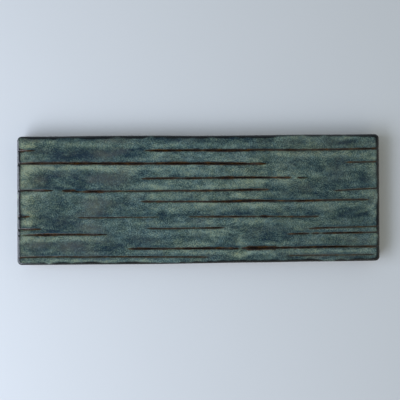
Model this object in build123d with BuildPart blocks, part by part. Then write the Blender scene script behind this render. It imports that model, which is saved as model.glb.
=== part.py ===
from build123d import *

import os
from dataclasses import dataclass

# Glazed ceramic wall tile with a scored face and a keyed back.
#
# The tile is one fired piece of clay: a flat slab with rounded corners, a face that a
# pointed tool has scored with long level lines, and shallow channels along the back that
# key it to its bedding. A score line stops in the face, where the tool lifts out, or runs
# off an end, where the tool drops over the rim and nicks it.
#
# Frame: millimetres, origin at the middle of the back, +X along the length, +Y across the
# width, +Z out of the glazed face.

INCH = 25.4

# Slab: a nominal 3 x 8 inch module less its quarter-inch joint, three eighths thick.
JOINT = 0.25 * INCH
LENGTH = 8 * INCH - JOINT
WIDTH = 3 * INCH - JOINT
THICKNESS = 0.375 * INCH
CORNER_RADIUS = 2.4
RIM_RADIUS = 1.0
FOOT_CHAMFER = 0.5

# Score line: a narrow V between two lips that slope down to it.
SCORE_DEPTH = 0.75
SCORE_HALF_WIDTH = 0.48
LIP_HALF_WIDTH = 1.25
LIP_DROP = 0.14
CUTTER_HEAD = 0.3

# Ends of a score line: the tool lifts clear of the face, or drops over the rim.
RUN_OUT = 3.2
TIP_CLEARANCE = 0.05
RUN_OFF = 1.5
RUN_OFF_DIP = 0.5
STATION_STEP = 7.0

# Keyed back: channels along the whole length, with sloping walls.
CHANNEL_COUNT = 7
CHANNEL_PITCH = 9.4
CHANNEL_WIDTH = 5.2
CHANNEL_DEPTH = 0.9
CHANNEL_WALL_ANGLE = 60


@dataclass
class Score:
    """One score line, measured from the left end and up from the lower edge of the face.

    The line wanders through its heights, which stand at even steps from start to stop. Its
    weight scales the section: under 1 where the tool was pressed lightly, over 1 for hard.
    """

    start: float
    stop: float
    heights: tuple
    weight: float = 1.0


LEFT_END = 0.0
RIGHT_END = LENGTH

SCORES = [
    # First course, nearest the upper edge
    Score(LEFT_END, 9.5, (62.0, 62.0, 62.2), 0.9),
    Score(68.5, RIGHT_END, (61.7, 61.6, 61.6, 61.3, 61.6, 61.4, 61.4, 61.6, 61.9)),
    # Second course
    Score(LEFT_END, 136, (54.9, 55.2, 55.0, 54.8, 54.6, 54.6, 54.4, 54.1, 54.1), 1.1),
    Score(177.5, RIGHT_END, (54.5, 54.5, 54.7), 0.85),
    # Third course
    Score(66.5, 159, (46.4, 46.6, 46.5, 46.6, 46.6, 46.4, 46.2)),
    # Fourth course, whose second line starts with a hard press
    Score(LEFT_END, 19.5, (40.4, 40.6, 40.3), 0.9),
    Score(25.5, 31.5, (40.3, 40.2), 1.3),
    Score(30.5, 137, (39.8, 39.7, 39.8, 39.7, 39.8, 39.7, 39.7, 39.9, 40.0)),
    Score(171, RIGHT_END, (39.0, 39.4, 39.9, 40.1), 0.75),
    # Fifth course
    Score(66.5, 191.5, (34.1, 33.9, 33.8, 33.7, 34.0, 33.7, 33.8, 34.0, 34.0)),
    # Sixth course
    Score(LEFT_END, 8, (26.4, 26.5), 0.95),
    Score(32, 78, (25.9, 25.5, 25.6, 25.6, 25.6), 0.7),
    Score(92, 165, (25.6, 25.5, 25.4, 25.4, 25.1, 25.2), 0.85),
    # Seventh course
    Score(LEFT_END, 12.5, (20.0, 19.6, 19.6), 0.95),
    Score(69.5, 113, (19.7, 19.3, 19.4, 19.4, 19.5), 0.85),
    Score(157.5, RIGHT_END, (18.6, 19.0, 19.2, 19.5), 0.85),
    # Eighth course
    Score(LEFT_END, 48, (16.7, 16.5, 16.6, 16.5, 16.4)),
    Score(145.5, RIGHT_END, (15.6, 15.9, 16.0, 16.1, 16.3), 0.85),
    # Ninth course, whose second line starts with a hard press too
    Score(59, 119.5, (8.6, 8.5, 8.4, 8.4, 8.0)),
    Score(121.5, 143, (8.2, 8.3, 8.2), 1.45),
    Score(134, RIGHT_END, (8.3, 8.3, 8.5, 8.5, 8.5)),
    # Tenth course, along the lower edge
    Score(LEFT_END, 104, (4.3, 4.6, 4.4, 4.3, 4.1, 3.9, 3.6), 0.75),
    Score(146, 195, (4.1, 4.0, 4.1), 0.65),
]


def wandering_line(score):
    """The score line in plan, as one smooth curve that reaches past an end it runs off."""
    last = len(score.heights) - 1
    points = []
    for i, height in enumerate(score.heights):
        along = score.start + (score.stop - score.start) * i / last
        points.append((along, height))
    if score.start == LEFT_END:
        points[0] = (LEFT_END - RUN_OFF, score.heights[0])
    if score.stop == RIGHT_END:
        points[-1] = (RIGHT_END + RUN_OFF, score.heights[-1])
    with BuildLine(Plane(origin=(-LENGTH / 2, -WIDTH / 2, THICKNESS))) as line:
        Spline(points)
    return line.edge()


def tool_height(score, travelled, remaining):
    """How far the tool's tip stands above its full depth, given its distance from each end."""
    lift = SCORE_DEPTH * score.weight + TIP_CLEARANCE
    height = 0.0
    for distance, runs_off in (
        (travelled, score.start == LEFT_END),
        (remaining, score.stop == RIGHT_END),
    ):
        if runs_off:
            height -= RUN_OFF_DIP * max(0.0, 1 - distance / (2 * RUN_OFF))
        else:
            height += lift * max(0.0, 1 - distance / RUN_OUT) ** 2
    return height


def stations(length):
    """Distances along a line where its sections stand, closest together at its two ends."""
    end_steps = [RUN_OUT / 4, RUN_OUT / 2, RUN_OUT, 1.5 * RUN_OUT]
    if length < 4 * RUN_OUT:
        end_steps = end_steps[:2]
    inner = length - 2 * end_steps[-1]
    count = max(1, round(inner / STATION_STEP))
    near = [0.0] + end_steps
    middle = [end_steps[-1] + inner * i / count for i in range(1, count)]
    far = [length - distance for distance in reversed(near)]
    return near + middle + far


def score_section(weight):
    """The cutter's outline across a line. Its lips go on upwards, clear of the face."""
    lip_slope = LIP_DROP / (LIP_HALF_WIDTH - SCORE_HALF_WIDTH)
    head_half_width = LIP_HALF_WIDTH * weight + CUTTER_HEAD / lip_slope
    return [
        (-head_half_width, CUTTER_HEAD),
        (-SCORE_HALF_WIDTH * weight, -LIP_DROP * weight),
        (0, -SCORE_DEPTH * weight),
        (SCORE_HALF_WIDTH * weight, -LIP_DROP * weight),
        (head_half_width, CUTTER_HEAD),
    ]


with BuildPart() as tile:
    # Slab with rounded corners, a soft rim round the face and an eased foot.
    with BuildSketch() as outline:
        RectangleRounded(LENGTH, WIDTH, CORNER_RADIUS)
    extrude(amount=THICKNESS)
    fillet(tile.faces().sort_by(Axis.Z)[-1].edges(), RIM_RADIUS)
    chamfer(tile.faces().sort_by(Axis.Z)[0].edges(), FOOT_CHAMFER)

    # Key channels along the back.
    with BuildSketch(Plane.YZ) as channels:
        with GridLocations(CHANNEL_PITCH, 0, CHANNEL_COUNT, 1):
            Trapezoid(
                CHANNEL_WIDTH,
                CHANNEL_DEPTH,
                CHANNEL_WALL_ANGLE,
                align=(Align.CENTER, Align.MIN),
            )
    extrude(amount=LENGTH / 2, both=True, mode=Mode.SUBTRACT)

    # Score lines, each straight from one of the tool's sections to the next, cut together.
    cutters = []
    for score in SCORES:
        line = wandering_line(score)
        for distance in stations(line.length):
            tip = line @ (distance / line.length)
            tip.Z += tool_height(score, distance, line.length - distance)
            with BuildSketch(Plane(origin=tip, x_dir=(0, 1, 0), z_dir=(1, 0, 0))):
                Polygon(score_section(score.weight))
        cutters.append(loft(ruled=True, mode=Mode.PRIVATE))
    add(cutters, mode=Mode.SUBTRACT)

tile.part.label = "tile"
os.makedirs("parts", exist_ok=True)
export_step(tile.part, "parts/tile.step")
print(f"tile: {tile.part.volume / 1000:.1f} cm3 with {len(SCORES)} score lines")
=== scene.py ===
import math

import bpy
import numpy as np
from mathutils import Euler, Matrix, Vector
from mathutils.bvhtree import BVHTree


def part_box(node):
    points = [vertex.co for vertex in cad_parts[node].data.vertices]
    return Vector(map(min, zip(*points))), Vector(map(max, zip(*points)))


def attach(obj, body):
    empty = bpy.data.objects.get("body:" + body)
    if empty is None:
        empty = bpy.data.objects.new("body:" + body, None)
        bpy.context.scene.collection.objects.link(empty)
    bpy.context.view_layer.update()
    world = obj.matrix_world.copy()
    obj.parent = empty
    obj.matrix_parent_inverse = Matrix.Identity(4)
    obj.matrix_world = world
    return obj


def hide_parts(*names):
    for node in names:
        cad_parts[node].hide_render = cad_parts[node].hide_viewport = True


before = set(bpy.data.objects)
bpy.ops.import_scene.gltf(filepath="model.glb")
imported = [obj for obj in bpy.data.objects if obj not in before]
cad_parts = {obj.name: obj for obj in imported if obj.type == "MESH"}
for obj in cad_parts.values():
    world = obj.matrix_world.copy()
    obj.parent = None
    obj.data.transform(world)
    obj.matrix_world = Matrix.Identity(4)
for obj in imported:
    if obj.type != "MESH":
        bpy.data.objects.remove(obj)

# A glazed ceramic tile lying on a pale table. One mesh stands for the whole fired piece: its
# face follows the scored face of the frame's tile, softened by the glaze, its sides carry the
# glaze part of the way down, and the rest is bare clay.
#
# Lengths are in millimetres from the face's lower left corner until a mesh is made: x runs to
# the right, y up across the face and z up from the table.

MM = 0.001
SEED = 4

# Sizes that the frame gives
BOX_LOW, BOX_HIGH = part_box("tile")
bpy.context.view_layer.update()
LENGTH = (BOX_HIGH.x - BOX_LOW.x) / MM
WIDTH = (BOX_HIGH.y - BOX_LOW.y) / MM
THICKNESS = (BOX_HIGH.z - BOX_LOW.z) / MM

# Sizes of the frame's tile that its box doesn't tell: the rounds of its corners and of its rim,
# and the chamfer of its foot
CORNER_RADIUS = 2.4
FRAME_RIM_RADIUS = 1.0
FOOT = 0.5

# Handmade outline: how far each side stands in from the true rectangle, at even steps along
# it, from left to right for the long sides and upwards for the ends
UPPER_SIDE = (0.08, 0.18, 0.05, 0.02, 0.10, 0.42, 0.36, 0.26, 0.14, 0.27, 0.14)
LOWER_SIDE = (0.30, 0.20, 0.16, 0.06, 0.02, 0.17, 0.30, 0.29, 0.48, 0.45, 0.60)
LEFT_END = (0.03, 0.16, 0.32, 0.52, 0.64)
RIGHT_END = (0.05, 0.0, 0.04)

# Random fields are listed as their share and the length and height of their features

# Rim: the glaze slopes away over RIM_REACH and turns down over a tight round at the outline. It
# comes down to its level between the two distances of TOP_BLEND
RIM_REACH = 1.5
RIM_FALL = 0.53
RIM_ROUND = 0.34
TOP_BLEND = (0.2, 1.6)

# How wide the dark rim is along each side, at even steps as in the outline above, the share of
# that width over which it fades, between which distances it fades at the least, and the random
# fields by which its border wanders. The dark rim is thin glaze over the body and painted shade
UPPER_RIM = (1.5, 1.4, 1.4, 1.5, 1.5, 1.2, 1.4, 1.6, 1.4, 1.0, 1.0)
LOWER_RIM = (1.2, 1.3, 1.3, 1.3, 1.4, 1.5, 1.4, 1.4, 1.4, 1.4, 1.5)
LEFT_RIM = (1.8, 2.3, 2.3, 2.1, 1.5)
RIGHT_RIM = (1.6, 1.6, 1.6)
RIM_FADE = 0.35
RIM_LEAST = (0.7, 1.3)
RIM_WANDER = [(0.16, 2.5, 2.5), (0.12, 9, 9)]

# At the left end the dark rim pales again towards the outline, between these distances from it:
# a painted highlight, for the window mirrored in the rounded left edge
LEFT_PAINTED_HIGHLIGHT = (0.1, 0.9)

# Glaze: how far its level parts lie under the highest point, how much they swell, the random
# fields of the swell, and its limits as shares of the headroom
GLAZE_HEADROOM = 0.07
SWELL = 0.035
SWELL_FIELDS = [(0.6, 14, 6), (0.4, 4, 1.6)]
SWELL_LIMITS = (-2, 0.9)

# Where the glaze ends on the sides: its mean height, how far it swings and what that is divided
# by, the numbers of waves round the tile, and its lowest and highest places
RUN_HEIGHT = 3.0
RUN_SWING = 0.9
RUN_CALM = 2.2
RUN_WAVES = (3, 60)
RUN_LIMITS = (1.4, 5.6)

# Glazed part of the sides: share of the way down to the glaze's end, how far it stands in, and
# how much is left there of the dark rim and of the marks of the scores
SIDE_PROFILE = [
    (0.25, 0.00, 0.55),
    (0.55, 0.03, 0.12),
    (0.80, 0.00, 0.15),
    (0.94, 0.00, 0.45),
    (1.00, 0.12, 0.80),
]

# Bare part of the sides: the clay starts GLAZE_LIP under the glaze's edge and stands in by
# GLAZE_STEP. Its rings are shares of the way down to the foot, which keeps clear of the channels
GLAZE_LIP = 0.12
GLAZE_STEP = 0.28
CLAY_RINGS = (0.0, 0.35, 0.7, 1.0)
CHANNEL_MARGIN = 0.02
BACK_INSET = FOOT + 0.2 * GLAZE_STEP

# Spacing of the mesh. Its rows are close where the face is scored deeper than SCORED_DEPTH,
# widened to SCORED_REACH rows of the maps and evened out over ROW_BLEND of them
COLUMN_STEP = 0.9
SCORED_ROW_STEP = 0.15
PLAIN_ROW_STEP = 0.5
SCORED_DEPTH = 0.03
SCORED_REACH = 5
ROW_BLEND = 9
RIM_PLACES = (0.0, 0.06, 0.16, 0.32, 0.55, 0.8, 1.05, 1.3)
BACK_STRIDE = 8
SHARP_ANGLE = 52

# Spacing of the maps that the mesh and its colours are read from, how far inside the outline
# the frame's face is read for them, the depths between which a score begins to count, and how
# far below the tile the rays start that find its back
MAP_STEP_X = 0.25
MAP_STEP_Y = 0.1
MAP_MARGIN = 0.02
LEAST_DEPTHS = (0.015, 0.05)
RAY_START = 10

# Filling of the scores: how uneven it is, in wide parts, in frayed ones and as a whole, how far
# up and down from its course a stretch counts, and the darkest that a harder cut is painted. A
# harder cut darkens the colour alone, as painted shade; the mesh is cut no deeper
FILL_WIDE = 0.15
FILL_FRAYED = 0.20
FILL_MEAN = -0.06
COURSE_REACH = 1.3
HARDEST_PAINTED_CUT = -2.0

# Softness of the scores along and across them, and of their ends, which glaze eases
SCORE_BLUR = (0.15, 0.07)
CUT_EASE = 2.2

# Stain of the scores: how much of it a filling hides, in step with the filling and where that
# is nearly full, and how dark it shows through
STAIN_HIDDEN = (0.45, 0.50)
FILLED_STAIN = 0.80

# Depths between which the cut, the stain, its fringe and the bands beside it set in
CORE_DEPTHS = (0.05, 0.18)
STAIN_DEPTHS = (0.1, 0.3)
FRINGE_DEPTHS = (0.08, 0.24)
LINE_DEPTHS = (0.05, 0.2)

# Soft bands beside the scores: how far up the face each is moved, and its blur along and across
FRINGE = (-0.10, 0.4, 0.26)
POOL_ABOVE = (0.85, 0.8, 0.28)
POOL_BELOW = (-0.85, 0.8, 0.24)
PALE_ABOVE = (2.2, 1.5, 0.6)
PALE_BELOW = (-2.6, 1.5, 0.98)
LINE_BLUR = (2.0, 0.3)

# Parts of the blurred fringe and line between which their masks rise from 0 to 1
HALO_SPAN = (0.05, 0.60)
LINE_SPAN = (0.1, 0.9)

# Strength of the pools and pale bands, and how it varies along the scores
POOL_MEAN = 0.7
POOL_VARIES = 0.4
POOL_LIMITS = (0.1, 1.4)
POOL_BELOW_SHARE = 0.12
PALE_ABOVE_SHARE = 0.30
PALE_BELOW_SHARE = 0.75
PALE_VARIES = 0.15
VARIES_OVER = (9, 3)

# Tone of the glaze: strength of the patches, random fields, mean, and how much paler the right
# end is than the left
PATCH_STRENGTH = 1.25
TONE_FIELDS = [(0.05, 12, 3.0), (0.15, 4, 1.6), (0.12, 2, 1)]
WARM_FIELDS = [(0.12, 7, 3)]
TONE_LEVEL = -0.03
TONE_SLOPE = 0.1

# Size of the rags at the patches' borders, and how far they shift them along and up
RAG_SIZE = (5, 2.2)
RAG_SHIFT = (1.1, 0.5)

# Stretches of the score lines, by the height of their course: the stretch's middle, its half
# length, and the share of the score that glaze has filled, or under 0 where the cut is painted
# darker, as painted shade of a harder cut that the mesh doesn't have
STRETCHES = {
    61.8: [
        (6, 4, -0.4), (70, 3, 0.35), (84, 4, -0.2), (98, 3, -0.5), (112, 9, -1.1),
        (125, 1.5, 0.2), (141, 5, 0.45), (168, 26, 0.35), (174, 3, 0.2),
    ],
    54.6: [
        (3, 2, 0.2), (16, 12, 0.35), (34, 4, -0.8), (44, 2.5, 0.2), (57, 10, -0.6),
        (67, 1.5, -0.4), (73, 3, 0.3), (87, 6, -0.7), (96, 2, 0.2), (110, 11, -1.0),
        (132, 4, 0.2), (187, 12, 0.35),
    ],
    46.5: [
        (76, 8, 0.2), (88, 3.5, 0.6), (98, 7, 0.2), (107, 2, 0.15), (113.5, 3, -1.6),
        (130, 2, 0.2), (136, 3, 0.1), (142, 4, 0.3), (150, 2.5, 0.95), (156, 4, 0.7),
    ],
    40.0: [
        (4.5, 2.5, 0.2), (12.5, 3, -0.4), (18, 2, -0.4), (28.3, 3, -1.0), (34.8, 2.4, 0.9),
        (42, 4, -0.9), (48, 1.5, -0.1), (52, 2, 0.4), (58, 4.5, 0.75), (72, 9.5, 0.55),
        (87, 4.5, 0.55), (97, 5, 0.5), (108, 5, 0.3), (117, 3, 0.05), (134, 2.5, 0.5),
        (182, 14, 0.35),
    ],
    33.9: [
        (70, 2, 0.2), (75, 2, 0.5), (79, 1.5, 0.2), (83, 1.8, 0.6), (87, 1.5, 0.2),
        (91, 1.5, 0.65), (97, 4, 0.35), (105, 4, 0.45), (111, 2, 0.25), (116, 3, -0.6),
        (124, 4, -1.5), (137, 3, 0.2), (143.5, 5, 0.5), (151, 2, 0.5), (158, 2.5, 0.3),
        (163, 1.5, 0.1), (178, 12, 0.48),
    ],
    25.6: [
        (1, 1.5, 0.5), (5, 2, -0.6), (38, 7, 0.1), (53, 6, 0.4), (69, 9, 0.65), (96, 3, 0.6),
        (106, 5, 0.35), (114, 1.2, 0.55), (118, 1.2, -0.2), (124, 3, 0.3), (130, 1.5, 0.8),
        (134, 1.2, -1.6), (142, 4, 0.7), (147, 1.5, 0.65), (153, 3, 0.5), (160, 5, 0.5),
    ],
    19.4: [
        (6, 5, 0.3), (87, 16, 0.5), (109, 3, 0.2), (178, 9, 0.45), (192, 4, 0.6),
    ],
    16.3: [
        (2.5, 4, 0.9), (9, 1.2, 0.4), (16, 2, -1.6), (20, 2, -0.2), (28, 5, 0.2),
        (38, 5, 0.25), (45, 2.5, 0.3), (150, 4, 0.1), (159, 1.4, 0.95), (164.4, 1.1, 0.9),
        (174, 5, -0.3), (191, 4, 0.5),
    ],
    8.4: [
        (61, 2, 0.2), (74, 1.5, 0.2), (83.5, 2, 0.6), (98.5, 1.5, 0.35), (106, 2, 0.2),
        (118, 2.2, -0.9), (132, 7, -0.1), (142, 3, 0.3), (150, 4, 0.2), (166, 4, 0.05),
        (172, 5, 0.15), (188, 9, 0.35),
    ],
    4.2: [
        (2.5, 3, 0.5), (13, 2, 0.3), (22, 5, 0.25), (45, 16, 0.1), (82, 20, 0.2),
        (172, 22, 0.35),
    ],
}

# Short presses of the tool, which change the colour alone, as painted shade of deeper cuts than
# the mesh has: x, y, half length, half height, and the depth of the cut that they are as dark as
PAINTED_PRESSES = [
    (6.5, 62.05, 3.5, 0.30, 0.35),
    (17.4, 40.45, 2.2, 0.30, 0.45),
    (28.4, 40.25, 3.0, 0.42, 0.80),
    (4.2, 26.50, 2.4, 0.35, 0.50),
    (10.5, 19.65, 2.6, 0.28, 0.35),
    (46.0, 16.30, 2.6, 0.28, 0.35),
    (117.5, 8.10, 2.3, 0.35, 0.50),
    (124.4, 8.25, 2.7, 0.42, 0.75),
]

# Parts of the scores whose relief the mesh flattens, while their dark colour stays, the stain
# with
# painted shade in place of the relief: x, y, half length
LEVELLED = [
    (8.5, 62.1, 6.0),
    (134.5, 54.2, 5.0),
    (18.5, 40.5, 7.5),
    (30.2, 40.2, 4.5),
    (7.0, 26.5, 5.5),
    (11.5, 19.6, 6.0),
    (46.5, 16.4, 6.0),
    (118.6, 8.1, 4.5),
]

# Glaze that pools above the scores: the height of their course, and its share
POOLS = [
    (4.2, 0.9),
    (8.4, 1.0),
    (25.6, 1.0),
    (33.9, 0.9),
    (40.0, 0.85),
    (46.5, 0.45),
    (54.6, 1.0),
    (61.8, 0.55),
]

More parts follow.
